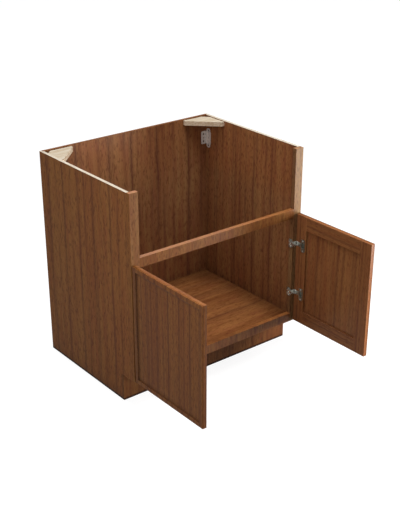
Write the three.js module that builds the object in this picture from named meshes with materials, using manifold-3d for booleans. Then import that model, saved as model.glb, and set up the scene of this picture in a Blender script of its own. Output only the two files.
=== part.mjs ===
// Sink base cabinet with an open apron front, for a farmhouse sink, and two framed doors.
//
// Sizes are in millimetres. +Z is up, +Y runs from the front to the wall and +X is to the right
// of someone who faces the cabinet. The origin is on the floor, in the wall plane, at the middle
// of the width. At rest both doors stand open, square to the front.

import * as THREE from 'three';
import { mergeVertices } from 'three/addons/utils/BufferGeometryUtils.js';
import Module from 'manifold-3d';

const wasm = await Module();
wasm.setup();

// ---------------------------------------------------------------- driving dimensions: carcass
const cabinetWidth = 838.2;
const cabinetDepth = 609.6;        // wall plane to the front of the face frame
const cabinetHeight = 876.3;
const sideThickness = 12.7;
const backThickness = 12.7;
const floorThickness = 12.7;
const rabbetDepth = 6.35;          // how far the back and the floor are let into the sides
const toeHeight = 114.3;
const toeDepth = 76.2;             // front of the face frame to the toe board
const toeBoardThickness = 12.7;
const frameThickness = 19.05;
const stileWidth = 38.1;
const apronRailHeight = 38.1;
const bottomRailHeight = 38.1;
const sinkOpeningHeight = 254;     // top of the apron rail to the top of the cabinet
const floorDrop = 20;              // floor surface below the top of the bottom rail
const tenonLength = 12;
const tenonThickness = 6.35;
const tenonShoulder = 4;           // rail edge to tenon edge
const woodGap = 0.3;               // joint between two boards
const braceLeg = 124;
const braceThickness = 19.05;
const braceCornerCut = 28;
const braceEnd = 12;               // width of the squared ends
const braceDrop = 4;               // top of the cabinet to the top of a brace

// ---------------------------------------------------------------- driving dimensions: steel
const sheet = 1.8;                 // brackets and hinge arms
const steelGap = 0.3;              // steel lying on wood
const bracketSideWing = 35;
const bracketBackWing = 27;
const bracketHeight = 58;
const bracketTabWidth = 24;
const bracketTabReach = 14;        // each tab beyond the wing, up and down
const bracketDrop = 101;           // top of the cabinet to the middle of a bracket
const bracketHoleRadius = 2.6;

// ---------------------------------------------------------------- driving dimensions: doors
const doorThickness = 19.05;
const doorTopOverlay = 15.9;       // closed door above the lower edge of the apron rail
const doorBottomReveal = 3.2;      // closed door above the lower edge of the bottom rail
const doorOverlay = 25.4;          // how far a closed door laps onto its stile
const centreGap = 3.2;             // between the two closed doors
const doorGap = 3;                 // closed door to face frame
const doorFrameWidth = 57.15;
const doorEdgeRound = 2;
const borderWidth = 18;            // raised border round the door's front
const coveWidth = 10;
const fieldDepth = 5.5;            // front of the border to the flat field
const grooveDepth = 4.8;
const grooveWidth = 3.6;
const grooveFromBack = 7.15;       // door's back to the near side of the groove
const panelGap = 0.5;              // panel to frame, all round
const panelBackDepth = 6.9;        // door's back to the panel's back
const tongueClearance = 0.2;
const doorRestAngle = 90;          // how far the doors stand open at rest

// ---------------------------------------------------------------- driving dimensions: hinges
const hingeInset = { lower: 133.5, upper: 129.1 };   // from the door's lower and upper edge
const pinInset = 4.6;              // door's hinge edge to the pin
const pinDepth = 3.6;              // door's back to the pin
const pinRadius = 1.5;
const pinSides = 20;
const pinClearance = 0.08;
const knuckleRadius = 2.6;
const armHalfWidth = 9.5;
const knuckleSplit = 3.7;          // middle of the split between the door's and the arm's knuckles
const splitClearance = 0.2;
const armReach = 17;               // along the stile's edge, behind the front plane
const armFlange = 3;
const noseClearance = 0.6;         // arm to the front of the stile
const plateThickness = 1.6;
const plateHeight = 38;
const plateReach = 21;             // behind the front plane
const plateCorner = 5;
const plateScrewOffset = 14.3;
const plateScrewReach = 10;
const screwShankRadius = 1.7;
const screwHeadRadius = 3.2;
const screwHeadHeight = 1.6;
const screwLength = 13;
const screwClearance = 0.3;
const slotLength = 9;              // side adjustment of the arm
const strapRecess = 0.8;           // door's back to the strap
const strapThickness = 1.6;
const cupCentre = 41.5;            // door's hinge edge to the middle of the cup
const cupBossRadius = 10;
const cupBossHeight = 34;
const cupBossDepth = 10;
const cupPocketWidth = 13;
const cupPocketHeight = 26;
const cupFloor = 1.4;
const flangeWidth = 23;
const flangeHeight = 57;
const flangeThickness = 1.6;
const flangeCorner = 8;
const flangeScrewOffset = 22;
const mortiseClearance = 0.4;

// ---------------------------------------------------------------- places worked out from them
const front = -cabinetDepth;
const halfWidth = cabinetWidth / 2;
const innerHalf = halfWidth - sideThickness;
const openingHalf = halfWidth - stileWidth;
const frameBack = front + frameThickness;
const backFace = -backThickness;
const apronTop = cabinetHeight - sinkOpeningHeight;
const bottomRailTop = toeHeight + bottomRailHeight;
const floorTop = bottomRailTop - floorDrop;
const doorBottom = toeHeight + doorBottomReveal;
const doorTop = apronTop - apronRailHeight + doorTopOverlay;
const hingeHeights = { lower: doorBottom + hingeInset.lower, upper: doorTop - hingeInset.upper };
const doorWidth = openingHalf + doorOverlay - centreGap / 2;
const doorHingeEdge = openingHalf + doorOverlay;
const pinX = doorHingeEdge - pinInset;
const pinY = front - doorGap - pinDepth;

// The stile as the hinge pin sees it: its opening edge and its front plane.
const stileEdge = openingHalf - pinX;
const stileFront = front - pinY;

// The door as the hinge pin sees it, closed: its back, its front and its two edges.
const doorBack = pinDepth;
const doorFace = pinDepth - doorThickness;
const hingeEdge = pinInset;
const freeEdge = pinInset - doorWidth;

// ---------------------------------------------------------------- materials
const surface = (color, roughness, metalness = 0) =>
  new THREE.MeshStandardMaterial({ color, roughness, metalness });
const materials = {
  stainedWood: surface(0x7a4f2f, 0.55),
  panelWood: surface(0x6f472a, 0.6),
  paleWood: surface(0xe0cfae, 0.7),
  plate: surface(0x8f8c86, 0.35, 1),
  screw: surface(0xa8a49c, 0.3, 1),
};

// ---------------------------------------------------------------- solids
function solidOf(geometry) {
  const bare = geometry.index ? geometry.clone() : geometry;
  bare.deleteAttribute('normal');
  bare.deleteAttribute('uv');
  const merged = mergeVertices(bare, 1e-4);
  return new wasm.Manifold(new wasm.Mesh({
    numProp: 3,
    vertProperties: new Float32Array(merged.attributes.position.array),
    triVerts: new Uint32Array(merged.index.array),
  }));
}

function geometryOf(solid) {
  const mesh = solid.getMesh();
  const geometry = new THREE.BufferGeometry();
  geometry.setAttribute('position', new THREE.BufferAttribute(new Float32Array(mesh.vertProperties), 3));
  geometry.setIndex(new THREE.BufferAttribute(new Uint32Array(mesh.triVerts), 1));
  geometry.computeVertexNormals();
  return geometry;
}

// The same geometry on the other side of the cabinet's middle plane.
function mirrored(geometry) {
  const copy = geometry.clone().scale(-1, 1, 1);
  const index = copy.index.array;
  for (let i = 0; i < index.length; i += 3) {
    [index[i], index[i + 1]] = [index[i + 1], index[i]];
  }
  copy.computeVertexNormals();
  return copy;
}

const union = (...solids) => solids.reduce((whole, piece) => whole.add(piece));
const cut = (solid, ...tools) => tools.reduce((rest, tool) => rest.subtract(tool), solid);

// A box between two corners.
function box(x0, x1, y0, y1, z0, z1) {
  const geometry = new THREE.BoxGeometry(x1 - x0, y1 - y0, z1 - z0);
  geometry.translate((x0 + x1) / 2, (y0 + y1) / 2, (z0 + z1) / 2);
  return solidOf(geometry);
}

function extruded(shape, length) {
  return new THREE.ExtrudeGeometry(shape, { depth: length, bevelEnabled: false });
}

// A shape drawn in X and Y, standing between two heights.
function alongZ(shape, z0, z1) {
  return solidOf(extruded(shape, z1 - z0).translate(0, 0, z0));
}

// A shape drawn in Y and Z, between two places on X.
function alongX(shape, x0, x1) {
  const geometry = extruded(shape, x1 - x0);
  geometry.applyMatrix4(new THREE.Matrix4().makeBasis(
    new THREE.Vector3(0, 1, 0), new THREE.Vector3(0, 0, 1), new THREE.Vector3(1, 0, 0)));
  return solidOf(geometry.translate(x0, 0, 0));
}

// A shape drawn in X and Z, between two places on Y.
function alongY(shape, y0, y1) {
  const geometry = extruded(shape, y1 - y0);
  geometry.applyMatrix4(new THREE.Matrix4().makeBasis(
    new THREE.Vector3(1, 0, 0), new THREE.Vector3(0, 0, 1), new THREE.Vector3(0, -1, 0)));
  return solidOf(geometry.translate(0, y1, 0));
}

function outline(points) {
  return new THREE.Shape(points.map(([u, v]) => new THREE.Vector2(u, v)));
}

// Points on an arc about (u, v), from one angle in degrees to another.
function arc(u, v, radius, from, to, steps) {
  const points = [];
  for (let i = 0; i <= steps; i += 1) {
    const angle = THREE.MathUtils.degToRad(from + (to - from) * (i / steps));
    points.push([u + radius * Math.cos(angle), v + radius * Math.sin(angle)]);
  }
  return points;
}

function circle(u, v, radius, sides = 14) {
  return outline(arc(u, v, radius, 0, 360, sides).slice(1));
}

// A rectangle with round corners, between two corners.
function roundedRect(u0, u1, v0, v1, radius, steps = 5) {
  return outline([
    ...arc(u1 - radius, v0 + radius, radius, -90, 0, steps),
    ...arc(u1 - radius, v1 - radius, radius, 0, 90, steps),
    ...arc(u0 + radius, v1 - radius, radius, 90, 180, steps),
    ...arc(u0 + radius, v0 + radius, radius, 180, 270, steps),
  ]);
}

// A body turned about its own axis, from [radius, height] pairs that start and end on the axis.
function turned(profile, sides) {
  const points = profile.map(([radius, height]) => new THREE.Vector2(radius, height));
  return new THREE.LatheGeometry(points, sides);
}

// A block with a rectangular section that changes from one level on Y to the next. The levels
// run towards +Y, and inset is the distance from the door's outline.
function steppedBlock(levels) {
  const corners = [];
  for (const { y, inset } of levels) {
    const x0 = freeEdge + inset;
    const x1 = hingeEdge - inset;
    const z0 = doorBottom + inset;
    const z1 = doorTop - inset;
    corners.push(x0, y, z0, x1, y, z0, x1, y, z1, x0, y, z1);
  }
  const faces = [0, 1, 2, 0, 2, 3];
  for (let level = 0; level < levels.length - 1; level += 1) {
    for (let side = 0; side < 4; side += 1) {
      const a = level * 4 + side;
      const b = level * 4 + (side + 1) % 4;
      faces.push(a, a + 4, b, b, a + 4, b + 4);
    }
  }
  const last = (levels.length - 1) * 4;
  faces.push(last, last + 2, last + 1, last, last + 3, last + 2);
  const geometry = new THREE.BufferGeometry();
  geometry.setAttribute('position', new THREE.BufferAttribute(new Float32Array(corners), 3));
  geometry.setIndex(faces);
  return solidOf(geometry);
}

// ---------------------------------------------------------------- scene graph
const cabinet = new THREE.Group();
const bothSides = ['left', 'right'];

function place(name, geometry, material, parent = cabinet) {
  const mesh = new THREE.Mesh(geometry, material);
  mesh.name = name;
  parent.add(mesh);
  return mesh;
}

// One piece on the right and its mirror image on the left.
function placePair(name, solid, material, parents) {
  const right = geometryOf(solid);
  place(`right_${name}`, right, material, parents.right);
  place(`left_${name}`, mirrored(right), material, parents.left);
}

const onCabinet = { left: cabinet, right: cabinet };

// A group on the pin line of each side; the doors' groups also turn to the rest angle.
function pinGroups(angle) {
  const groups = {};
  for (const side of bothSides) {
    const sign = side === 'right' ? 1 : -1;
    const group = new THREE.Group();
    group.position.set(sign * pinX, pinY, 0);
    group.rotation.z = THREE.MathUtils.degToRad(sign * angle);
    cabinet.add(group);
    groups[side] = group;
  }
  return groups;
}

// ---------------------------------------------------------------- carcass
function sidePanel() {
  const toeFace = front + toeDepth + toeBoardThickness + woodGap;
  const face = outline([
    [toeFace, 0], [0, 0], [0, cabinetHeight], [frameBack + woodGap, cabinetHeight],
    [frameBack + woodGap, toeHeight], [toeFace, toeHeight],
  ]);
  const floorDado = box(
    innerHalf - 1, innerHalf + rabbetDepth,
    frameBack - 1, backFace,
    floorTop - floorThickness - woodGap, floorTop + woodGap);
  const backRabbet = box(
    innerHalf - 1, innerHalf + rabbetDepth, backFace - woodGap, 1, -1, cabinetHeight + 1);
  return cut(alongX(face, innerHalf, halfWidth), floorDado, backRabbet);
}

function backPanel() {
  const half = innerHalf + rabbetDepth - woodGap;
  return box(-half, half, backFace, 0, 0, cabinetHeight);
}

function floorPanel() {
  const half = innerHalf + rabbetDepth - woodGap;
  return box(-half, half, frameBack + woodGap, backFace - woodGap, floorTop - floorThickness, floorTop);
}

// The board covers the cut edges of both sides; between them it rises to carry the floor.
function toeKickBoard() {
  const near = front + toeDepth;
  const far = near + toeBoardThickness;
  const half = innerHalf - woodGap;
  return union(
    box(-halfWidth, halfWidth, near, far, 0, toeHeight - woodGap),
    box(-half, half, near, far, 0, floorTop - floorThickness - woodGap));
}

function tenon(x0, x1, z0, z1, clearance) {
  const middle = front + frameThickness / 2;
  const half = tenonThickness / 2 + clearance;
  return box(
    x0, x1, middle - half, middle + half,
    z0 + tenonShoulder - clearance, z1 - tenonShoulder + clearance);
}

// A rail between the stiles, with a stub tenon at each end.
function frameRail(z0, z1) {
  const half = openingHalf - woodGap / 2;
  const board = box(-half, half, front, frameBack, z0, z1);
  const reach = openingHalf + tenonLength;
  return union(board, tenon(-reach, reach, z0, z1, 0));
}

function frameStile() {
  const board = box(openingHalf, halfWidth, front, frameBack, toeHeight, cabinetHeight);
  const mortises = railHeights().map(([z0, z1]) =>
    tenon(openingHalf - 1, openingHalf + tenonLength + woodGap, z0, z1, woodGap));
  return cut(board, ...mortises, ...stileScrewHoles());
}

function railHeights() {
  return [[toeHeight, bottomRailTop], [apronTop - apronRailHeight, apronTop]];
}

function stileScrewHoles() {
  const radius = screwShankRadius + screwClearance;
  return plateScrewPlaces().map(([y, z]) =>
    alongX(circle(y, z, radius), openingHalf - 1, openingHalf + screwLength + 1));
}

// A triangular block across a rear corner, with its point and its two ends cut square.
function cornerBrace() {
  const x = innerHalf - woodGap;
  const y = backFace - woodGap;
  const top = cabinetHeight - braceDrop;
  const plan = outline([
    [x - braceLeg, y - braceEnd], [x - braceEnd, y - braceLeg], [x, y - braceLeg],
    [x, y - braceCornerCut], [x - braceCornerCut, y], [x - braceLeg, y],
  ]);
  return alongZ(plan, top - braceThickness, top);
}

// A pressed angle in a rear corner, below the brace, with its screws driven home.
function cornerBracket() {
  const x = innerHalf - steelGap;
  const y = backFace - steelGap;
  const z = cabinetHeight - bracketDrop;
  const half = bracketHeight / 2;
  const corner = 6;
  const tabEdge = y - bracketSideWing + 4;
  const tabHalf = half + bracketTabReach;
  const sideWing = union(
    alongX(roundedRect(y - bracketSideWing, y, z - half, z + half, corner), x - sheet, x),
    alongX(roundedRect(tabEdge, tabEdge + bracketTabWidth, z - tabHalf, z + tabHalf, corner * 1.5),
      x - sheet, x));
  const backWing = alongY(roundedRect(x - bracketBackWing, x, z - half, z + half, corner), y - sheet, y);
  const bend = box(x - sheet, x, y - sheet - corner, y, z - half + corner, z + half - corner);
  const bendBack = box(x - sheet - corner, x, y - sheet, y, z - half + corner, z + half - corner);
  const tabScrewY = tabEdge + bracketTabWidth / 2;
  const sideScrews = [z - tabHalf + 9, z + tabHalf - 9].map((height) => [tabScrewY, height]);
  const sideHole = alongX(circle(y - bracketSideWing * 0.6, z, bracketHoleRadius), x - sheet - 1, x + 1);
  const backHoleX = x - bracketBackWing * 0.55;
  const backScrews = [z - half + 13, z + half - 13].map((height) => [backHoleX, height]);
  const backHole = alongY(circle(backHoleX, z, bracketHoleRadius), y - sheet - 1, y + 1);
  const heads = union(
    ...sideScrews.map(([v, w]) => screwDome(v, w).translate(x - sheet, 0, 0)).map(solidOf),
    ...backScrews.map(([u, w]) => screwDomeOnBack(u, y - sheet, w)).map(solidOf));
  return union(cut(union(sideWing, bend), sideHole), cut(union(backWing, bendBack), backHole), heads);
}

// A low screw head that points towards -X, on the plane x = 0.
function screwDome(y, z) {
  const dome = turned([[0, -0.5], [screwHeadRadius, -0.5], [screwHeadRadius, 0.6], [2.2, 1.5], [0, 1.8]], 12);
  return dome.rotateZ(Math.PI / 2).translate(0, y, z);
}

// The same head, pointing towards -Y from the plane y.
function screwDomeOnBack(x, y, z) {
  return screwDome(0, 0).rotateZ(Math.PI / 2).translate(x, y, z);
}

// ---------------------------------------------------------------- door joinery
// The whole door as one block: eased edges, and a flat field inside the raised border.
function doorBlank() {
  const steps = 3;
  const eased = [];
  for (let i = 0; i <= steps; i += 1) {
    const angle = (i / steps) * (Math.PI / 2);
    eased.push({
      y: doorFace + doorEdgeRound * (1 - Math.sin(angle)),
      inset: doorEdgeRound * (1 - Math.cos(angle)),
    });
  }
  eased.reverse();
  const backBevel = 0.8;
  const block = steppedBlock([
    ...eased, { y: doorBack - backBevel, inset: 0 }, { y: doorBack, inset: backBevel },
  ]);
  return cut(block, doorField());
}

// What the field and its cove take out of the door's front.
function doorField() {
  const steps = 5;
  const levels = [{ y: doorFace - 1, inset: borderWidth }];
  for (let i = 0; i <= steps; i += 1) {
    const angle = (i / steps) * (Math.PI / 2);
    levels.push({
      y: doorFace + fieldDepth * Math.sin(angle),
      inset: borderWidth + coveWidth * (1 - Math.cos(angle)),
    });
  }
  return steppedBlock(levels);
}

// A box in the plane of the groove, with a clearance on both of its faces.
function grooveBox(x0, x1, z0, z1, clearance = 0) {
  const near = doorBack - grooveFromBack - clearance;
  const far = doorBack - grooveFromBack - grooveWidth + clearance;
  return box(x0, x1, far, near, z0, z1);
}

function doorStile(x0, x1, innerSign) {
  const region = box(x0, x1, doorFace - 1, doorBack + 1, doorBottom - 1, doorTop + 1);
  const inner = innerSign > 0 ? x1 : x0;
  const groove = grooveBox(
    Math.min(inner - innerSign * grooveDepth, inner + innerSign),
    Math.max(inner - innerSign * grooveDepth, inner + innerSign),
    doorBottom - 1, doorTop + 1);
  return cut(doorBlank().intersect(region), groove);
}

function doorRail(z0, z1, innerZ, innerSign) {
  const x0 = freeEdge + doorFrameWidth + tongueClearance;
  const x1 = hingeEdge - doorFrameWidth - tongueClearance;
  const reach = grooveDepth - tongueClearance;
  const region = union(
    box(x0, x1, doorFace - 1, doorBack + 1, z0, z1),
    grooveBox(x0 - reach, x1 + reach, z0, z1, tongueClearance));
  const groove = grooveBox(
    x0 - reach - 1, x1 + reach + 1,
    Math.min(innerZ - innerSign * grooveDepth, innerZ + innerSign),
    Math.max(innerZ - innerSign * grooveDepth, innerZ + innerSign));
  return cut(doorBlank().intersect(region), groove);
}

// The centre panel: flush with the field in front, recessed behind, with a tongue all round.
function doorPanel() {
  const inset = doorFrameWidth + panelGap;
  const board = box(
    freeEdge + inset, hingeEdge - inset,
    doorFace + fieldDepth, doorBack - panelBackDepth,
    doorBottom + inset, doorTop - inset);
  const tongueInset = doorFrameWidth - grooveDepth + 2 * tongueClearance;
  const tongue = grooveBox(
    freeEdge + tongueInset, hingeEdge - tongueInset,
    doorBottom + tongueInset, doorTop - tongueInset, tongueClearance);
  return union(board, tongue);
}

// What the hinges take out of the door's back: pockets for the knuckles, a shallow bed for each
// strap, the round-ended hole for the cup and the pilot holes of its screws.
function hingeMortises() {
  const pocketX = -knuckleRadius - mortiseClearance;
  const pocketDepth = -knuckleRadius - 1;
  const pocketHalf = armHalfWidth + 1.8;
  const strapHalf = armHalfWidth + mortiseClearance;
  const strapBed = doorBack - strapRecess - strapThickness - mortiseClearance;
  const tools = [];
  for (const z of Object.values(hingeHeights)) {
    tools.push(
      box(pocketX, hingeEdge + 1, pocketDepth, doorBack + 1, z - pocketHalf, z + pocketHalf),
      box(hingeEdge - cupCentre, pocketX + 1, strapBed, doorBack + 1, z - strapHalf, z + strapHalf),
      alongY(cupOutline(z, mortiseClearance), doorBack - cupBossDepth - mortiseClearance, doorBack + 1));
    for (const sign of [-1, 1]) {
      tools.push(alongY(
        circle(hingeEdge - cupCentre, z + sign * flangeScrewOffset, screwShankRadius + screwClearance),
        doorBack - screwLength + 1, doorBack + 1));
    }
  }
  return tools;
}

function cupOutline(z, clearance) {
  const x = hingeEdge - cupCentre;
  const radius = cupBossRadius + clearance;
  const half = cupBossHeight / 2 + clearance;
  return roundedRect(x - radius, x + radius, z - half, z + half, radius - 0.01);
}

// ---------------------------------------------------------------- hinges
// Each hinge turns on one pin. A plate is screwed to the stile's edge. The arm lies on the plate,
// turns round the stile's front corner and ends in two knuckles. The strap of the cup ends in the
// middle knuckle. The shapes below are drawn about the pin, for the right side.
function plateScrewPlaces() {
  const places = [];
  for (const z of Object.values(hingeHeights)) {
    for (const sign of [-1, 1]) {
      places.push([front + plateScrewReach, z + sign * plateScrewOffset]);
    }
  }
  return places;
}

const plateFace = stileEdge - steelGap - plateThickness;
const armUnderside = plateFace - screwClearance;
const armTopFace = armUnderside - sheet;
const adjusterY = stileFront + plateScrewReach;

function hingePlate(z) {
  const half = plateHeight / 2;
  const near = stileFront + steelGap;
  const far = stileFront + plateReach;
  const leaf = alongX(roundedRect(near, far, z - half, z + half, plateCorner),
    plateFace, plateFace + plateThickness);
  const hook = box(
    plateFace, stileEdge + 5,
    stileFront + frameThickness + steelGap, far,
    z - half / 2, z + half / 2);
  const holes = [-1, 1].map((sign) => alongX(
    circle(stileFront + plateScrewReach, z + sign * plateScrewOffset, screwShankRadius + screwClearance),
    plateFace - 1, plateFace + plateThickness + 1));
  const adjusterHole = alongX(
    circle(adjusterY, z, screwShankRadius + screwClearance), plateFace - 1, plateFace + plateThickness + 1);
  return cut(union(leaf, hook), ...holes, adjusterHole);
}

// One pair of knuckles or the middle one: a tube on the pin line.
function knuckle(z0, z1) {
  return alongZ(circle(0, 0, knuckleRadius, pinSides), z0, z1);
}

function pinBore(z) {
  const bore = circle(0, 0, pinRadius + pinClearance, pinSides);
  return alongZ(bore, z - armHalfWidth - 1, z + armHalfWidth + 1);
}

function hingeArm(z) {
  const low = z - armHalfWidth;
  const high = z + armHalfWidth;
  const noseFront = stileFront - noseClearance - sheet;
  const noseBack = stileFront - noseClearance;
  const armEnd = stileFront + armReach;
  const leg = box(armTopFace, armUnderside, noseFront, armEnd, low, high);
  const nose = box(armTopFace, knuckleRadius, noseFront, noseBack, low, high);
  const flangeStart = stileFront + 2;
  const flanges = [[low, low + sheet], [high - sheet, high]].map(([z0, z1]) =>
    box(armTopFace - armFlange, armUnderside, flangeStart, armEnd, z0, z1));
  const split = knuckleSplit + splitClearance;
  const knuckles = [[low, z - split], [z + split, high]].map(([z0, z1]) => union(
    knuckle(z0, z1),
    box(knuckleRadius - sheet, knuckleRadius, 0, noseBack, z0, z1)));
  const half = slotLength / 2;
  const slotRadius = screwShankRadius + screwClearance;
  const slot = alongX(
    roundedRect(adjusterY - half, adjusterY + half, z - slotRadius, z + slotRadius, slotRadius - 0.01),
    armTopFace - 1, armUnderside + 1);
  return cut(union(leg, nose, ...flanges, ...knuckles), slot, pinBore(z));
}

// A riveted pin: its heads hold the knuckles together.
function hingePin(z) {
  const reach = armHalfWidth + steelGap;
  const head = 0.9;
  const headRadius = pinRadius + 0.7;
  return turned([
    [0, -reach - head], [headRadius, -reach - head], [headRadius, -reach], [pinRadius, -reach],
    [pinRadius, reach], [headRadius, reach], [headRadius, reach + head], [0, reach + head],
  ], pinSides).rotateX(Math.PI / 2).translate(0, 0, z);
}

// The cup with its flange, pocket and strap, pressed from one blank.
function hingeCup(z) {
  const x = hingeEdge - cupCentre;
  const flangeFoot = doorBack + steelGap;
  const flangeTop = flangeFoot + flangeThickness;
  const halfFlange = flangeHeight / 2;
  const flange = alongY(
    roundedRect(x - flangeWidth / 2, x + flangeWidth / 2, z - halfFlange, z + halfFlange, flangeCorner),
    flangeFoot, flangeTop);
  const boss = alongY(cupOutline(z, 0), doorBack - cupBossDepth, flangeTop - flangeThickness / 2);
  const strapTop = doorBack - strapRecess;
  const strapFoot = strapTop - strapThickness;
  const strapEnd = -knuckleRadius - 2 * mortiseClearance - 0.2;
  const strap = box(x, strapEnd, strapFoot, strapTop, z - armHalfWidth, z + armHalfWidth);
  const middle = knuckleSplit - splitClearance;
  const tongue = box(strapEnd - 1, 0, strapFoot, strapTop, z - middle, z + middle);
  const pocketHalf = cupPocketHeight / 2;
  const pocket = alongY(
    roundedRect(x - cupPocketWidth / 2, x + cupPocketWidth / 2, z - pocketHalf, z + pocketHalf, 3),
    doorBack - cupBossDepth + cupFloor, flangeTop + 1);
  const screwHoles = [-1, 1].map((sign) => alongY(
    circle(x, z + sign * flangeScrewOffset, screwShankRadius + screwClearance),
    flangeFoot - 1, flangeTop + 1));
  const pressed = union(flange, boss, strap, tongue, knuckle(z - middle, z + middle));
  return cut(pressed, pocket, ...screwHoles, pinBore(z));
}

// A pan-head screw: the head starts at height 0 and the shank points down.
function panScrew(length) {
  return turned([
    [0, -length], [0.5, -length + 0.4], [screwShankRadius, -length + 3], [screwShankRadius, 0],
    [screwHeadRadius, 0], [screwHeadRadius, 0.8], [screwHeadRadius * 0.7, screwHeadHeight],
    [1, screwHeadHeight], [0, 0.7],
  ], 12);
}

// A screw driven towards +X, with the underside of its head at x.
function screwTowardsX(x, y, z, length) {
  return panScrew(length).rotateZ(Math.PI / 2).translate(x, y, z);
}

// A screw driven towards -Y, with the underside of its head at y.
function screwTowardsY(x, y, z, length) {
  return panScrew(length).translate(x, y, z);
}

// ---------------------------------------------------------------- assembly
function placeSided(name, geometry, material, parents) {
  place(`right_${name}`, geometry, material, parents.right);
  place(`left_${name}`, mirrored(geometry), material, parents.left);
}

function buildCarcass() {
  placePair('side_panel', sidePanel(), materials.stainedWood, onCabinet);
  place('back_panel', geometryOf(backPanel()), materials.panelWood);
  place('floor_panel', geometryOf(floorPanel()), materials.panelWood);
  place('toe_kick_board', geometryOf(toeKickBoard()), materials.stainedWood);
  placePair('stile', frameStile(), materials.stainedWood, onCabinet);
  const [bottom, apron] = railHeights();
  place('bottom_rail', geometryOf(frameRail(...bottom)), materials.stainedWood);
  place('apron_rail', geometryOf(frameRail(...apron)), materials.stainedWood);
  placePair('corner_brace', cornerBrace(), materials.paleWood, onCabinet);
  placePair('corner_bracket', cornerBracket(), materials.plate, onCabinet);
}

function buildDoors(doors) {
  const inner = { low: freeEdge + doorFrameWidth, high: hingeEdge - doorFrameWidth };
  const hingeStile = cut(doorStile(inner.high, hingeEdge + 1, -1), ...hingeMortises());
  placePair('door_hinge_stile', hingeStile, materials.stainedWood, doors);
  placePair('door_free_stile', doorStile(freeEdge - 1, inner.low, 1), materials.stainedWood, doors);
  const lowRail = doorBottom + doorFrameWidth;
  const highRail = doorTop - doorFrameWidth;
  placePair('door_bottom_rail', doorRail(doorBottom - 1, lowRail, lowRail, 1), materials.stainedWood, doors);
  placePair('door_top_rail', doorRail(highRail, doorTop + 1, highRail, -1), materials.stainedWood, doors);
  placePair('door_panel', doorPanel(), materials.panelWood, doors);
}

function buildHinges(pins, doors) {
  for (const [level, z] of Object.entries(hingeHeights)) {
    placePair(`${level}_hinge_plate`, hingePlate(z), materials.plate, pins);
    placePair(`${level}_hinge_arm`, hingeArm(z), materials.plate, pins);
    placePair(`${level}_hinge_cup`, hingeCup(z), materials.plate, doors);
    placeSided(`${level}_hinge_pin`, mergedOf(hingePin(z)), materials.screw, pins);
    const adjuster = screwTowardsX(armTopFace - screwClearance, adjusterY, z, sheet + plateThickness);
    placeSided(`${level}_adjusting_screw`, mergedOf(adjuster), materials.screw, pins);
    for (const [end, sign] of [['bottom', -1], ['top', 1]]) {
      const plateScrew = screwTowardsX(
        plateFace - screwClearance, adjusterY, z + sign * plateScrewOffset, screwLength);
      placeSided(`${level}_plate_screw_${end}`, mergedOf(plateScrew), materials.screw, pins);
      const cupScrew = screwTowardsY(
        hingeEdge - cupCentre, doorBack + steelGap + flangeThickness + screwClearance,
        z + sign * flangeScrewOffset, screwLength - 1);
      placeSided(`${level}_cup_screw_${end}`, mergedOf(cupScrew), materials.screw, doors);
    }
  }
}

function mergedOf(geometry) {
  return geometryOf(solidOf(geometry));
}

buildCarcass();
const doorGroups = pinGroups(doorRestAngle);
buildDoors(doorGroups);
buildHinges(pinGroups(0), doorGroups);

export default cabinet;
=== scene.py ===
"""Finishes a sink base cabinet: stained wood, raw edges and plated steel, on a plain stage."""

import math
from dataclasses import dataclass, replace

import bmesh
import bpy
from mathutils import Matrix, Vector


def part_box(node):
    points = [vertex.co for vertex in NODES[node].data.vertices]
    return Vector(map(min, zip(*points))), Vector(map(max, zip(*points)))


bl_info = {
    "name": "Sink Base Cabinet",
    "version": (1, 0, 0),
    "blender": (4, 5, 0),
    "location": "View3D > Sidebar > Cabinet",
    "description": "Finishes a sink base cabinet with open doors and stages it for a picture",
    "category": "Object",
}

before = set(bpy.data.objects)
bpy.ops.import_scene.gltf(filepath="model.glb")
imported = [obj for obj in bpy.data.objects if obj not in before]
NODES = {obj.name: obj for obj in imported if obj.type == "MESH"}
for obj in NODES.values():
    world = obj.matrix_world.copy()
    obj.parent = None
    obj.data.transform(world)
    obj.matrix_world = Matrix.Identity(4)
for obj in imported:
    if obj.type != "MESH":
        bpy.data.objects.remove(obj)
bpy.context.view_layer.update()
SIDES = ("left", "right")
LEVELS = ("lower", "upper")
AXES = "XYZ"

# Sizes are in metres. A figure in the wood is so wide across the grain and so long along it.
FLUSHES = (0.017, 0.07)
FLECKS = (0.0052, 0.022)
PORES = (0.0013, 0.018)
SAWN_LAYERS = (0.0022, 0.06)
BRACE_RINGS = (0.006, 0.12)
BRACE_FIBRES = (0.0012, 0.03)
# These figures are as many strips of veneer wide.
BANDS = (0.9, 1.4)
STREAKS = (0.13, 0.26)
SEAM_SWAY = (3.0, 0.22)
SEAM_JAG = (0.2, 0.012)
SEAM_FADE = (0.9, 0.3)

# The dark lines between strips: how far they stray, in strips, how wide their core and skirt are,
# in pitches of the lines, and where the fainter lines lie, in strips.
SWAY_REACH = 0.14
JAG_REACH = 0.05
CORE_WIDTH = 0.03
SKIRT_WIDTH = 0.13
FAINT_WIDTH = 0.2
FAINT_PLACE = 0.37
FAINT_PITCH = 0.48

# Where a finish changes to another on one board.
OUTSIDE_CHANGE = 0.001
SAWN_CHANGE = 0.0004
FACE_FRAME_SKIN = 0.0011
# Heights between which the painted shadow along a board's foot fades out.
FOOT_SHADE = (0.005, 0.012)
# Width of the edges that take the worn colour, as wear and as a painted highlight.
WORN_AND_LIT_EDGE_WIDTH = 0.0016
COVE_FROM_FRONT = 0.0055
COVE_WIDTH = 0.0022
COVE_END = 0.0012

# Between these values a mask rises from 0 to 1: on edges, on level faces and in corners.
EDGE_TURN = (0.01, 0.2)
LEVEL_FACES = (0.5, 0.9)
OPEN_SHADE = 0.06
DEEP_SHADE = 0.42
COVE_SHADE = (0.02, 0.26)
EDGE_SAMPLES = 4
SHADE_SAMPLES = 6

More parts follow.
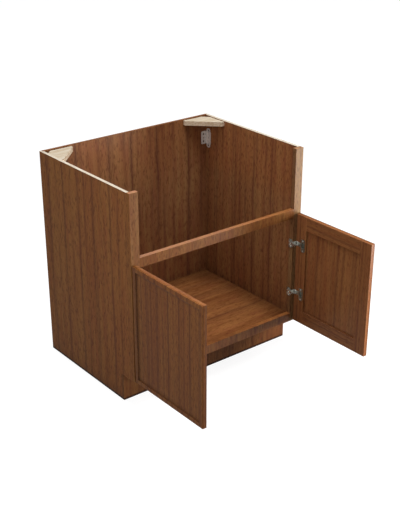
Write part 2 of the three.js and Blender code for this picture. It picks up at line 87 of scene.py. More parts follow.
# How rough lacquered wood is, and what pores, streaks and a sawn edge add to it.
LACQUERED = 0.44
PORE_ROUGHNESS = 0.14
STREAK_ROUGHNESS = 0.06
SAWN_ROUGHNESS = 0.2
# How much of their light the floor panel's darker bands keep, next to the other boards'.
FLOOR_BANDS = 0.76

# Steel: how fine its clouds and scratches are, and where its marks and its painted screw shade lie.
CLOUD_SCALE = 140.0
SCRATCH_SCALE = (90.0, 90.0, 2600.0)
LIGHT_EDGE_WIDTH = 0.0006
DARK_CORNER_REACH = 0.004
SCREW_RADIUS = 0.0045
# Screws in a corner bracket, where it gets spots of painted shade, in from the bracket's outer
# corner and up or down from its middle.
BRACKET_SCREWS = ((0.01485, 0.0025, 0.016), (0.0025, 0.019, 0.034))

FLOOR_SIZE = 40.0
FLOOR_GAP = 0.0005
WHITE = (1.0, 1.0, 1.0, 1.0)
# Each softbox's place, the point that it faces, and its size. Its power is the setting of its name.
SOFTBOXES = {
    "ceiling": ((0.2, -0.5, 2.6), (0.15, -0.5, 0.5), 1.6),
    "right_softbox": ((1.38, -1.85, 0.45), (0.4, -0.61, 0.5), 0.9),
    "left_softbox": ((-2.0, -1.2, 1.6), (0.0, -0.6, 0.5), 1.2),
}
REAR_PLACE = (0.4, 2.0, 2.0)
REAR_SPREAD = math.radians(50)
SENSOR_WIDTH = 36.0
VIEW_END = 100.0


# ------------------------------------------------------------------ colours
def linear(red, green, blue):
    """A display colour from 0 to 255 as the linear colour that a shader takes."""
    def channel(value):
        share = value / 255
        return share / 12.92 if share <= 0.04045 else ((share + 0.055) / 1.055) ** 2.4
    return (channel(red), channel(green), channel(blue), 1.0)


def darker(colour, share):
    """A colour with only a share of its light."""
    return tuple(share * value for value in colour[:3]) + (1.0,)


# ------------------------------------------------------------------ shader maths
class Wire:
    """A number that varies over a surface. Sums and products of wires add Math nodes."""

    def __init__(self, paint, socket):
        self.paint = paint
        self.socket = socket

    def math(self, operation, *others):
        return self.paint.math(operation, self, *others)

    def __add__(self, other):
        return self.paint.math("ADD", self, other)

    def __radd__(self, other):
        return self.paint.math("ADD", other, self)

    def __sub__(self, other):
        return self.paint.math("SUBTRACT", self, other)

    def __rsub__(self, other):
        return self.paint.math("SUBTRACT", other, self)

    def __mul__(self, other):
        return self.paint.math("MULTIPLY", self, other)

    def __rmul__(self, other):
        return self.paint.math("MULTIPLY", other, self)


class Paint:
    """One material or world, and the nodes in it."""

    def __init__(self, owner):
        owner.use_nodes = True
        self.owner = owner
        self.tree = owner.node_tree
        self.tree.nodes.clear()

    def node(self, kind, settings=None, inputs=None):
        """Adds a node. The settings come first, then the values or links of its sockets."""
        made = self.tree.nodes.new(kind)
        for name, value in (settings or {}).items():
            setattr(made, name, value)
        for name, value in (inputs or {}).items():
            self.feed(self.input_of(made, name), value)
        return made

    def input_of(self, made, name):
        if isinstance(name, int):
            return made.inputs[name]
        return next(s for s in made.inputs if s.name == name and s.enabled)

    def feed(self, socket, value):
        if isinstance(value, Wire):
            value = value.socket
        if isinstance(value, bpy.types.NodeSocket):
            self.tree.links.new(value, socket)
        else:
            socket.default_value = value

    def math(self, operation, *values):
        made = self.node("ShaderNodeMath", {"operation": operation}, dict(enumerate(values)))
        return Wire(self, made.outputs[0])

    def vector(self, operation, *values, output="Vector"):
        made = self.node(
            "ShaderNodeVectorMath", {"operation": operation}, dict(enumerate(values)))
        return made.outputs[output]

    def spread(self, value, low, high, to_low=0.0, to_high=1.0):
        """The value, eased from one range to another and held at its ends."""
        made = self.node(
            "ShaderNodeMapRange",
            {"interpolation_type": "SMOOTHSTEP", "clamp": True},
            {"Value": value, "From Min": low, "From Max": high,
             "To Min": to_low, "To Max": to_high},
        )
        return Wire(self, made.outputs["Result"])

    def fade(self, value, near, far):
        """1 up to near, easing to 0 at far and beyond."""
        return self.spread(value, near, far, 1.0, 0.0)

    def blend(self, factor, first, second, mode="MIX"):
        made = self.node(
            "ShaderNodeMix",
            {"data_type": "RGBA", "blend_type": mode, "clamp_factor": True},
            {"Factor": factor, "A": first, "B": second},
        )
        return next(s for s in made.outputs if s.enabled)

    def tinted(self, colour, tint):
        return self.blend(1.0, colour, tint, "MULTIPLY")

    def place(self):
        return self.node("ShaderNodeTexCoord").outputs["Object"]

    def axis(self, vector, letter):
        made = self.node("ShaderNodeSeparateXYZ", inputs={"Vector": vector})
        return Wire(self, made.outputs[letter])

    def height(self):
        """Height above the floor, in metres."""
        return self.axis(self.place(), "Z")

    def from_middle(self):
        """Distance to the left or right of the cabinet's middle, in metres."""
        return self.axis(self.place(), "X").math("ABSOLUTE")

    def noise(self, vector, detail=2.0, distortion=0.0, scale=1.0):
        made = self.node(
            "ShaderNodeTexNoise",
            {"noise_dimensions": "3D"},
            {"Vector": vector, "Scale": scale, "Detail": detail, "Distortion": distortion},
        )
        return Wire(self, made.outputs["Fac"])

    def seams(self, across, pitch, uneven):
        """Distance, in pitches, to the nearest of many parallel lines, which lie unevenly."""
        made = self.node(
            "ShaderNodeTexVoronoi",
            {"voronoi_dimensions": "1D", "feature": "DISTANCE_TO_EDGE"},
            {"W": across * (1 / pitch), "Scale": 1.0, "Randomness": uneven})
        return Wire(self, made.outputs["Distance"])

    def edges(self, radius):
        """1 on the edges of a piece and 0 on its faces."""
        rounded = self.node("ShaderNodeBevel", {"samples": EDGE_SAMPLES}, {"Radius": radius})
        flat = self.node("ShaderNodeNewGeometry")
        likeness = self.vector(
            "DOT_PRODUCT", rounded.outputs["Normal"], flat.outputs["Normal"], output="Value")
        return self.spread(1.0 - Wire(self, likeness), *EDGE_TURN)

    def crevices(self, reach, own_only=False, low=OPEN_SHADE, high=DEEP_SHADE):
        """1 deep in a corner or a groove and 0 in the open."""
        made = self.node(
            "ShaderNodeAmbientOcclusion",
            {"samples": SHADE_SAMPLES, "only_local": own_only}, {"Distance": reach})
        return self.spread(1.0 - Wire(self, made.outputs["AO"]), low, high)

    def facing_up(self):
        """1 on level faces that look up and 0 on upright faces."""
        normal = self.node("ShaderNodeNewGeometry").outputs["Normal"]
        return self.spread(self.axis(normal, "Z"), *LEVEL_FACES)

    def bump(self, height, strength, distance):
        made = self.node(
            "ShaderNodeBump", None,
            {"Strength": strength, "Distance": distance, "Height": height})
        return made.outputs["Normal"]

    def principled(self, inputs):
        shader = self.node("ShaderNodeBsdfPrincipled", None, inputs)
        self.node("ShaderNodeOutputMaterial", None, {"Surface": shader.outputs["BSDF"]})

    def seen_rays(self):
        """1 for rays that the eye, a reflection or a refraction follows, and 0 for the others."""
        path = self.node("ShaderNodeLightPath")
        seen = Wire(self, path.outputs["Is Camera Ray"])
        for kind in ("Is Glossy Ray", "Is Transmission Ray"):
            seen = seen.math("MAXIMUM", path.outputs[kind])
        return seen


def new_paint(name):
    return Paint(bpy.data.materials.new(name))


# ------------------------------------------------------------------ wood
@dataclass
class Veneer:
    """A veneer's figure: its grain's axis, its place, its strips' width, and how marked it is."""

    grain: str = "Z"
    shift: tuple = (0.0, 0.0, 0.0)
    strip: float = 0.11
    figure: float = 1.0
    seams: float = 1.0


@dataclass
class RisingTint:
    """A tint that changes with height, from the low one at start to the high one at end."""

    low: tuple
    high: tuple
    start: float
    end: float


@dataclass
class Stain:
    """How stain and lacquer lie on a board, and the painted shade and light on it.

    outside is how far from the cabinet's middle the board's outer side begins; nearer in, the
    inner tint and the inner veneer show. The cove runs between two such distances and gets
    painted shade; shade is how much painted shade darkens the board's corners, and foot adds a
    painted shadow along its bottom. The worn colour on the edges is partly thin stain and partly
    a painted highlight, and on faces that look up it is painted light. dust holds the tint of a
    painted shade on the board's middle and the distances between which it fades, and sawn_edge
    holds the height of a bare top edge and its two colours.
    """

    tint: tuple | RisingTint
    inner_tint: tuple | RisingTint | None = None
    outside: float | None = None
    shade: float = 0.4
    shade_reach: float = 0.014
    shade_from: float = OPEN_SHADE
    own_shade: bool = False
    cove: tuple | None = None
    foot: bool = False
    middle_shade: tuple | None = None
    worn_and_lit: float = 0.35
    painted_top_light: float = 0.0
    gloss: float = 0.12
    gloss_top: float = 0.0
    sawn_edge: tuple | None = None


def figure(paint, veneer, size, **noise):
    """Noise in the shape of a figure, which is so wide across the grain and so long along it."""
    width, length = size
    scale = [1 / width] * 3
    scale[AXES.index(veneer.grain)] = 1 / length
    moved = paint.vector("ADD", paint.place(), veneer.shift)
    return paint.noise(paint.vector("MULTIPLY", moved, scale), **noise)


def strip_figure(paint, veneer, size, **noise):
    """The same, with the width in strips of the veneer."""
    return figure(paint, veneer, (veneer.strip * size[0], size[1]), **noise)


def veneer_seams(paint, veneer):
    """Dark lines all along the grain, a strong and a weak one for each strip."""
    strip = veneer.strip
    moved = paint.vector("ADD", paint.place(), veneer.shift)
    first, second = (letter for letter in AXES if letter != veneer.grain)
    across = paint.axis(moved, first) + paint.axis(moved, second)
    sway = strip_figure(paint, veneer, SEAM_SWAY, detail=1.0)
    jag = strip_figure(paint, veneer, SEAM_JAG, detail=1.0)
    across = across + (sway - 0.5) * (strip * SWAY_REACH) + (jag - 0.5) * (strip * JAG_REACH)
    fade = strip_figure(paint, veneer, SEAM_FADE, detail=1.0)
    strong = paint.seams(across, strip, 0.45)
    weak = paint.seams(across + strip * FAINT_PLACE, strip * FAINT_PITCH, 0.7)
    core = paint.fade(strong, 0.0, CORE_WIDTH)
    skirt = paint.fade(strong, 0.0, SKIRT_WIDTH)
    faint = paint.fade(weak, 0.0, FAINT_WIDTH)
    heavy = (core * 0.26 + skirt * 0.34) * paint.spread(fade, 0.3, 0.6, 0.45, 1.0)
    light = faint * paint.spread(fade, 0.35, 0.62, 0.34, 0.12)
    return heavy.math("MAXIMUM", light)


def veneer_colour(paint, wood, veneer):
    """Broad bands, dark seams, narrow streaks and short flecks of a stained veneer."""
    bands = strip_figure(paint, veneer, BANDS, detail=1.0, distortion=0.3)
    streaks = strip_figure(paint, veneer, STREAKS, detail=2.0)
    flushes = figure(paint, veneer, FLUSHES, detail=1.0, distortion=0.5)
    flecks = figure(paint, veneer, FLECKS, detail=1.0)
    pores = figure(paint, veneer, PORES, detail=2.0)
    tone = paint.spread(bands * 0.45 + streaks * 0.55, 0.36, 0.64)
    colour = paint.blend(tone, wood["shade"], wood["light"])
    for amount, layer in (
            (paint.spread(flushes, 0.46, 0.72) * (0.26 * veneer.figure), "flush"),
            (veneer_seams(paint, veneer) * (wood["seam_strength"] * veneer.seams), "seam"),
            (paint.spread(flecks, 0.50, 0.72) * (0.42 * veneer.figure), "streak"),
            (paint.spread(pores, 0.55, 0.70) * (0.35 * veneer.figure), "streak")):
        colour = paint.blend(amount, colour, wood[layer])
    return colour, streaks, pores


def tint_of(paint, tint):
    """A tint as a colour, or as the wire of one that changes with height."""
    if isinstance(tint, RisingTint):
        return paint.blend(paint.spread(paint.height(), tint.start, tint.end), tint.low, tint.high)
    return tint


def painted_shade(paint, stain, outer):
    """How much painted shade darkens the corners, a door's cove and the foot."""
    deep = paint.crevices(stain.shade_reach, stain.own_shade, stain.shade_from) * stain.shade
    if stain.cove:
        start, end = stain.cove
        reach = paint.from_middle()
        slope = paint.spread(reach, start, end) * paint.fade(reach, end, end + COVE_END)
        grooves = paint.crevices(stain.shade_reach, True, *COVE_SHADE)
        deep = grooves.math("MAXIMUM", slope * 0.75) * outer + deep * (1.0 - outer)
    if stain.foot:
        deep = deep.math("MAXIMUM", paint.fade(paint.height(), *FOOT_SHADE))
    return deep


def shaded_middle(paint, colour, middle_shade):
    """The colour with a painted shade tinting it near the cabinet's middle."""
    tint, near, far = middle_shade
    unshaded = paint.spread(paint.from_middle(), near, far)
    return paint.blend(unshaded, paint.tinted(colour, tint), colour)


def sawn(paint, veneer, sawn_edge):
    """Where the bare sawn top edge is, and its colour."""
    top, light, dark = sawn_edge
    bare = paint.spread(paint.height(), top - 2 * SAWN_CHANGE, top - SAWN_CHANGE)
    layers = figure(paint, replace(veneer, grain="Y"), SAWN_LAYERS, detail=2.0)
    return bare, paint.blend(paint.spread(layers, 0.4, 0.7), light, dark)


def stained_wood(name, wood, veneer, stain, inner_veneer=None):
    """Stained and lacquered wood with painted shade and light, and with another tint and veneer on
    its inner side if given.
    """
    paint = new_paint(name)
    colour, streaks, pores = veneer_colour(paint, wood, veneer)
    tint = tint_of(paint, stain.tint)
    outer = None
    if stain.outside is not None:
        outer = paint.spread(
            paint.from_middle(), stain.outside - OUTSIDE_CHANGE, stain.outside + OUTSIDE_CHANGE)
        tint = paint.blend(outer, tint_of(paint, stain.inner_tint), tint)
        if inner_veneer:
            colour = paint.blend(outer, veneer_colour(paint, wood, inner_veneer)[0], colour)
    up = paint.facing_up()
    # Edges take the worn colour, partly as wear of the stain and partly as a painted highlight, and
    # faces that look up take it as painted light.
    rubbed = (paint.edges(WORN_AND_LIT_EDGE_WIDTH) * stain.worn_and_lit).math("MAXIMUM", up * stain.painted_top_light)
    colour = paint.blend(rubbed, paint.tinted(colour, tint), wood["worn_and_lit"])
    # Painted shade in corners and in a door's cove, and a painted shadow along the foot.
    colour = paint.blend(painted_shade(paint, stain, outer), colour, wood["crevice"])
    # Painted shade on the board's middle.
    if stain.middle_shade:
        colour = shaded_middle(paint, colour, stain.middle_shade)
    roughness = LACQUERED + pores * PORE_ROUGHNESS + streaks * STREAK_ROUGHNESS
    if stain.sawn_edge:
        bare, raw = sawn(paint, veneer, stain.sawn_edge)
        colour = paint.blend(bare, colour, raw)
        roughness = roughness + bare * SAWN_ROUGHNESS
    paint.principled({
        "Base Color": colour,
        "Roughness": roughness,
        "Normal": paint.bump(pores * 0.7 + streaks * 0.3, strength=0.35, distance=0.0003),
        "Specular IOR Level": 0.0,
        "Coat Weight": (1.0 - up) * (stain.gloss - stain.gloss_top) + stain.gloss_top,
        "Coat Roughness": 0.3,
    })
    return paint.owner


def brace_wood(name, wood):
    """Planed pale wood of the corner braces, whose grain runs from side to side."""
    paint = new_paint(name)
    rings = figure(
        paint, Veneer("X", (0.3, 0.1, 0.2)), BRACE_RINGS, detail=2.0, distortion=0.6)
    fibres = figure(paint, Veneer("X", (0.0, 0.2, 0.1)), BRACE_FIBRES, detail=2.0)
    colour = paint.blend(
        paint.spread(rings, 0.38, 0.66), wood["brace_light"], wood["brace_dark"])
    colour = paint.blend(paint.spread(fibres, 0.5, 0.75) * 0.3, colour, wood["brace_dark"])
    # Painted light: the upright faces are tinted lighter than the level faces.
    upright = paint.tinted(colour, wood["brace_front"])
    paint.principled({
        "Base Color": paint.blend(paint.facing_up(), upright, colour),
        "Roughness": 0.6 + fibres * 0.15,
        "Normal": paint.bump(fibres, strength=0.4, distance=0.0003),
        "Specular IOR Level": 0.05,
    })
    return paint.owner


# ------------------------------------------------------------------ steel
def painted_screw_shade(paint, body, place, middle, screws, colour):
    """The body's colour with dark spots of painted shade at the screws, alike on both sides and
    above and below middle.
    """
    for spot in screws:
        mirrored = paint.node("ShaderNodeCombineXYZ", None, {
            "X": paint.axis(place, "X").math("ABSOLUTE"),
            "Y": paint.axis(place, "Y"),
            "Z": (paint.axis(place, "Z") - middle).math("ABSOLUTE")})
        distance = paint.vector("DISTANCE", mirrored.outputs[0], spot, output="Value")
        near = paint.fade(Wire(paint, distance), SCREW_RADIUS * 0.8, SCREW_RADIUS)
        body = paint.blend(near, body, colour)
    return body


def plated_steel(name, steel, finish, roughness, metallic, middle=0.0, screws=()):
    """Stamped and plated steel, with dull spots, fine scratches, lighter edges, darker corners and
    painted shade at the screws.
    """
    paint = new_paint(name)
    place = paint.place()
    cloud = paint.noise(place, detail=3.0, scale=CLOUD_SCALE)
    scratches = paint.noise(paint.vector("MULTIPLY", place, SCRATCH_SCALE), detail=2.0)
    spots = paint.spread(cloud, 0.5, 0.72)
    body = paint.blend(spots * 0.7, steel[finish], steel["dull"])
    # Lighter along the edges and darker in the corners.
    body = paint.blend(paint.edges(LIGHT_EDGE_WIDTH) * 0.4, body, steel["rubbed"])
    body = paint.blend(paint.crevices(DARK_CORNER_REACH) * 0.35, body, steel["grime"])
    # Painted shade in dark spots at the bracket's screws.
    body = painted_screw_shade(paint, body, place, middle, screws, steel["bracket_screw"])
    paint.principled({
        "Base Color": body,
        "Metallic": metallic,
        "Roughness": roughness + spots * 0.18 + scratches * 0.1,
        "Normal": paint.bump(scratches * 0.4 + cloud, strength=0.25, distance=0.0001),
    })
    return paint.owner


# ------------------------------------------------------------------ settings
def colour_property(name, description, default):
    return bpy.props.FloatVectorProperty(
        name=name, description=description, subtype="COLOR", size=4, min=0.0, soft_max=1.0,
        default=default)


def tint_property(name, place, red, green, blue):
    """A colour that a board's colour is multiplied by."""
    return colour_property(name, f"Tint of {place}", (red, green, blue, 1.0))


def distance_property(name, description, default, most):
    return bpy.props.FloatProperty(
        name=name, description=description, default=default, min=0.0, max=most,
        subtype="DISTANCE", unit="LENGTH")


def share_property(name, description, default):
    return bpy.props.FloatProperty(
        name=name, description=description, default=default, min=0.0, max=1.0, subtype="FACTOR")


def power_property(name, description, default):
    return bpy.props.FloatProperty(
        name=name, description=description, default=default, min=0.0, subtype="POWER",
        unit="POWER")


def angle_property(name, description, degrees):
    return bpy.props.FloatProperty(
        name=name, description=description, default=math.radians(degrees), subtype="ANGLE",
        unit="ROTATION")


class WoodSettings(bpy.types.PropertyGroup):
    light: colour_property("Light", "Stained wood between the streaks", linear(133, 90, 54))
    shade: colour_property("Shade", "Stained wood in the darker bands", linear(121, 75, 45))
    streak: colour_property("Streak", "Dark flecks and pores", linear(70, 36, 24))
    seam: colour_property("Seam", "Dark lines between strips of veneer", linear(70, 40, 32))
    flush: colour_property("Flush", "Reddish patches in the stain", linear(122, 70, 50))
    # Painted shade: the colour that corners, grooves, a door's cove and a board's foot darken to.
    crevice: colour_property(
        "Crevice", "Stain that has gathered in corners and grooves", linear(52, 29, 15))
    # The insides are tinted lighter and less red than the outsides, most of all low down: painted
    # light where they lie in shade.
    outer: tint_property("Outer tint", "the outside of the sides", 1.37, 1.31, 1.05)
    inner: tint_property("Inner tint", "the insides of the sides", 1.3, 1.47, 1.58)
    inner_top: tint_property(
        "Upper inner tint", "the insides of the sides near their top", 1.36, 1.38, 1.39)
    # The back is tinted lighter and less red lower down: painted light where it lies in shade.
    back: tint_property("Back tint", "the back panel at its top", 1.38, 1.42, 1.48)
    back_low: tint_property("Lower back tint", "the back panel lower down", 1.6, 1.87, 2.1)
    floor: tint_property("Floor tint", "the floor panel", 1.27, 1.21, 1.08)
    # The two stiles' fronts are tinted apart for the different light on them: painted light.
    left_stile: tint_property("Left stile tint", "the left stile's front", 1.27, 1.46, 1.55)
    right_stile: tint_property("Right stile tint", "the right stile's front", 1.06, 1.38, 1.56)
    stile_side: tint_property("Stile side tint", "the stiles' outer edges", 1.27, 1.29, 0.95)
    rail: tint_property("Rail tint", "the apron rail", 1.1, 1.06, 0.82)
    sill: tint_property("Sill tint", "the bottom rail", 1.34, 1.24, 0.9)
    door: tint_property("Door tint", "the doors' fronts", 1.11, 0.98, 0.66)
    door_back: tint_property(
        "Door back tint", "the backs of the doors' panels and hinge stiles", 1.27, 1.28, 1.26)
    door_frame_back: tint_property(
        "Door frame back tint", "the backs of the doors' rails and free stiles",
        1.16, 1.12, 1.12)
    toe: tint_property("Toe tint", "the toe kick board", 0.8, 0.76, 0.7)
    # The toe and sill dust tints are painted shade on the middles of the toe kick board and the
    # bottom rail, which the doors shade.
    dim: tint_property("Toe dust", "the dusty middle of the toe kick board", 0.6, 0.6, 0.66)
    sill_dim: tint_property("Sill dust", "the dusty middle of the bottom rail", 0.7, 0.7, 0.72)
    # The worn colour: partly thin stain and partly a painted highlight on edges, and painted light
    # on faces that look up.
    worn_and_lit: colour_property("Worn edge", "Edges where the stain is thin", linear(176, 112, 66))
    raw_light: colour_property(
        "Raw edge, light", "Bare cut edges of the side panels", linear(184, 175, 160))
    raw_dark: colour_property(
        "Raw edge, dark", "Core layers in the bare edges", linear(164, 150, 132))
    band: colour_property("Back's edge", "Top edge of the back panel", linear(122, 82, 54))
    brace_light: colour_property(
        "Brace, light", "Pale wood of the corner braces", linear(170, 160, 143))
    brace_dark: colour_property(
        "Brace, dark", "Grain of the corner braces", linear(154, 138, 116))
    # Painted light: the braces' upright faces are tinted lighter than their level faces.
    brace_front: tint_property("Brace front tint", "the braces' upright faces", 1.5, 1.38, 1.3)
    seam_strength: share_property(
        "Seam strength", "How strongly the dark lines between the strips show", 1.0)
    edge_round: distance_property(
        "Edge rounding", "Width of the eased edges of the boards", 0.0007, 0.003)


class SteelSettings(bpy.types.PropertyGroup):
    bracket: colour_property(
        "Bracket", "Dull zinc of the corner brackets", linear(212, 203, 196))
    plate: colour_property("Hinge plate", "Plating of the hinges", linear(152, 155, 148))
    arm: colour_property(
        "Hinge arm", "Brighter plating of the hinges' arms", linear(214, 212, 205))
    screw: colour_property("Screw", "Plating of the screws and pins", linear(156, 158, 150))
    dull: colour_property("Dull plate", "Dull spots in the plating", linear(132, 132, 124))
    # The plating is made lighter along its edges.
    rubbed: colour_property("Rubbed edge", "Bright edges of the plating", linear(225, 224, 220))
    # The steel is made darker in its corners.
    grime: colour_property("Grime", "Dirt in the steel's corners", linear(60, 58, 54))
    # Painted shade: the colour of the dark spots at the brackets' screws.
    bracket_screw: colour_property(
        "Bracket screw", "Dark screw heads in the corner brackets", linear(74, 66, 60))
    edge_round: distance_property(
        "Edge rounding", "Width of the rounded edges of the stampings", 0.00025, 0.001)


class StageSettings(bpy.types.PropertyGroup):
    camera_place: bpy.props.FloatVectorProperty(
        name="Camera", description="Where the camera stands", size=3, subtype="TRANSLATION",
        unit="LENGTH", default=(-2.2583, -3.3082, 2.1041))
    camera_azimuth: angle_property(
        "Azimuth", "Camera's turn about the vertical, from straight ahead", -38.606)
    camera_elevation: angle_property(
        "Elevation", "How steeply the camera looks down", 24.764)
    camera_lens: bpy.props.FloatProperty(
        name="Lens", description="Focal length on a 36 mm sensor", default=67.72, min=10.0,
        subtype="DISTANCE_CAMERA")
    ceiling: power_property("Ceiling light", "Power of the broad softbox overhead", 52.0)
    right_softbox: power_property(
        "Right softbox", "Power of the low softbox on the right", 50.0)
    left_softbox: power_property("Left softbox", "Power of the softbox on the left", 20.0)
    rear_light: bpy.props.FloatProperty(
        name="Rear light", description="Strength of the soft light from behind and above",
        default=2.3, min=0.0)
    sky: bpy.props.FloatProperty(
        name="Sky", description="Strength of the even light from all round", default=0.03, min=0.0)
    floor: colour_property("Floor", "Plain pale floor", (0.2, 0.2, 0.2, 1.0))
    floor_glow: share_property(
        "Floor glow", "How far the floor is lifted to white for the eye", 0.9)


def plain(settings):
    """A group's settings as plain values: numbers, and colours as tuples."""
    values = {name: getattr(settings, name) for name in type(settings).__annotations__}
    return {
        name: value if isinstance(value, float) else tuple(value)
        for name, value in values.items()}


# ------------------------------------------------------------------ pieces
def both(name):
    return [f"{side}_{name}" for side in SIDES]


def finish_node(name, material, round_width, least_turn=40):
    """Gives a node its material, and eases the edges that turn by more than so many degrees."""
    piece = NODES[name]
    piece.data.materials.clear()
    piece.data.materials.append(material)
    easing = piece.modifiers.get("eased edges") or piece.modifiers.new("eased edges", "BEVEL")
    easing.width = round_width
    easing.segments = 2
    easing.limit_method = "ANGLE"
    easing.angle_limit = math.radians(least_turn)
    easing.harden_normals = False


class CABINET_OT_panels(bpy.types.Operator):
    """Finish the side panels, the back, the floor and the toe kick board"""

    bl_idname = "cabinet.panels"
    bl_label = "Finish panels"

    def execute(self, context):
        wood = plain(context.scene.cabinet_wood)
        low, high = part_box("left_side_panel")
        panel = Stain(tint=wood["outer"], shade_reach=0.06, shade_from=0.12)
        # The side panels get painted shade in corners, a painted shadow along the foot, and insides
        # tinted lighter low down as painted light.
        side = stained_wood(
            "side_panel_wood", wood, Veneer(figure=1.35, seams=1.15),
            replace(
                panel,
                inner_tint=RisingTint(wood["inner"], wood["inner_top"], start=0.6, end=0.72),
                outside=-(low.x + high.x) / 2, shade=0.22, foot=True,
                sawn_edge=(high.z, wood["raw_light"], wood["raw_dark"])))
        # The back gets painted shade in its corners, and its lower part is tinted lighter and less
        # red as painted light.
        back = stained_wood(
            "back_panel_wood", wood,
            Veneer(shift=(0.52, 0.0, 0.4), strip=0.14, figure=1.15, seams=1.35),
            replace(
                panel, shade=0.2,
                tint=RisingTint(wood["back_low"], wood["back"], start=0.5, end=0.85),
                sawn_edge=(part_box("back_panel")[1].z, wood["band"], wood["streak"])))
        # The floor panel gets broad painted shade near the walls, the back and the bottom rail.
        floor = stained_wood(
            "floor_wood", {**wood, "shade": darker(wood["shade"], FLOOR_BANDS)},
            Veneer(grain="X", shift=(0.0, 0.21, 0.0), strip=0.2, figure=1.1),
            Stain(tint=wood["floor"], shade=0.55, shade_reach=0.14, shade_from=0.2))
        # The toe kick board gets a painted shadow along its foot and painted shade on its middle.
        toe = stained_wood(
            "toe_board_wood", wood, Veneer(shift=(0.11, 0.5, 0.9)),
            Stain(tint=wood["toe"], foot=True, middle_shade=(wood["dim"], 0.1, 0.42)))
        for name in both("side_panel"):
            finish_node(name, side, wood["edge_round"])
        finish_node("back_panel", back, wood["edge_round"])
        finish_node("floor_panel", floor, wood["edge_round"])
        finish_node("toe_kick_board", toe, wood["edge_round"])
        return {"FINISHED"}


class CABINET_OT_face_frame(bpy.types.Operator):
    """Finish the stiles and the rails of the face frame"""

    bl_idname = "cabinet.face_frame"
    bl_label = "Finish face frame"

    def execute(self, context):
        wood = plain(context.scene.cabinet_wood)
        veneer = Veneer(shift=(0.73, 0.2, 0.15), figure=1.2)
        # The frame gets painted shade in its own corners, and painted light on its faces that look
        # up.
        member = Stain(tint=wood["stile_side"], own_shade=True, worn_and_lit=0.25, painted_top_light=0.1)
        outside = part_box("right_stile")[1].x - FACE_FRAME_SKIN
        stains = {
            f"{side}_stile": replace(
                member, inner_tint=wood[f"{side}_stile"], outside=outside,
                gloss=0.14, gloss_top=0.25)
            for side in SIDES}
        stains["apron_rail"] = replace(member, tint=wood["rail"], gloss=0.24, gloss_top=0.4)
        # The bottom rail's middle is darkened with painted shade.
        stains["bottom_rail"] = replace(
            member, tint=wood["sill"], gloss=0.36, gloss_top=0.1,
            middle_shade=(wood["sill_dim"], 0.06, 0.26))
        for name, stain in stains.items():
            seams = 0.6 if name == "apron_rail" else 1.0
            material = stained_wood(f"{name}_wood", wood, replace(veneer, seams=seams), stain)
            finish_node(name, material, wood["edge_round"])
        return {"FINISHED"}


class CABINET_OT_doors(bpy.types.Operator):
    """Finish the frames and the panels of both doors"""

    bl_idname = "cabinet.doors"
    bl_label = "Finish doors"

    def execute(self, context):
        wood = plain(context.scene.cabinet_wood)
        low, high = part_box("right_door_top_rail")
        cove = high.x - COVE_FROM_FRONT
        front = Veneer(shift=(0.25, 0.63, 0.35), strip=0.066, figure=1.2, seams=1.35)
        back = replace(front, figure=0.9, seams=1.08)
        # The doors get painted shade in their coves and corners, and painted light on their faces
        # that look up.
        panel = Stain(
            tint=wood["door"], inner_tint=wood["door_back"], outside=(low.x + high.x) / 2,
            cove=(cove, cove + COVE_WIDTH), worn_and_lit=0.25, painted_top_light=0.08, gloss=0.2, gloss_top=0.06)
        rail = replace(panel, inner_tint=wood["door_frame_back"])
        for name, inner_veneer, stain, members, least_turn in (
                ("door_stile", back, replace(panel, own_shade=True),
                 ["door_hinge_stile"], 50),
                ("door_panel", replace(back, strip=0.12), panel,
                 ["door_panel"], 40),
                ("door_free_stile", back, replace(rail, own_shade=True),
                 ["door_free_stile"], 50),
                ("door_rail", replace(back, grain="Y"), rail,
                 ["door_bottom_rail", "door_top_rail"], 50)):
            material = stained_wood(f"{name}_wood", wood, front, stain, inner_veneer)
            for member in members:
                for node in both(member):
                    finish_node(node, material, wood["edge_round"], least_turn)
        return {"FINISHED"}


class CABINET_OT_corner_braces(bpy.types.Operator):
    """Finish the pale corner braces"""

    bl_idname = "cabinet.corner_braces"
    bl_label = "Finish corner braces"

    def execute(self, context):
        wood = plain(context.scene.cabinet_wood)
        material = brace_wood("brace_wood", wood)
        for name in both("corner_brace"):
            finish_node(name, material, wood["edge_round"])
        return {"FINISHED"}


class CABINET_OT_steel(bpy.types.Operator):
    """Finish the corner brackets, the hinges, their pins and their screws"""

    bl_idname = "cabinet.steel"
    bl_label = "Finish steel"

    def execute(self, context):
        steel = plain(context.scene.cabinet_steel)
        low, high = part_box("right_corner_bracket")
        zinc = plated_steel(
            "bracket_plating", steel, "bracket", roughness=0.5, metallic=0.4,
            middle=(low.z + high.z) / 2,
            screws=[(high.x - x, high.y - y, z) for x, y, z in BRACKET_SCREWS])
        plate = plated_steel("hinge_plating", steel, "plate", roughness=0.26, metallic=0.92)
        arm = plated_steel("arm_plating", steel, "arm", roughness=0.2, metallic=0.85)
        screw = plated_steel("screw_plating", steel, "screw", roughness=0.3, metallic=0.9)
        finishes = {"hinge_plate": plate, "hinge_arm": arm, "hinge_cup": plate}
        for part in ("hinge_pin", "adjusting_screw", "plate_screw_bottom", "plate_screw_top",
                     "cup_screw_bottom", "cup_screw_top"):
            finishes[part] = screw
        for name in both("corner_bracket"):
            finish_node(name, zinc, steel["edge_round"])
        for level in LEVELS:
            for part, material in finishes.items():
                for name in both(f"{level}_{part}"):
                    finish_node(name, material, steel["edge_round"])
        return {"FINISHED"}


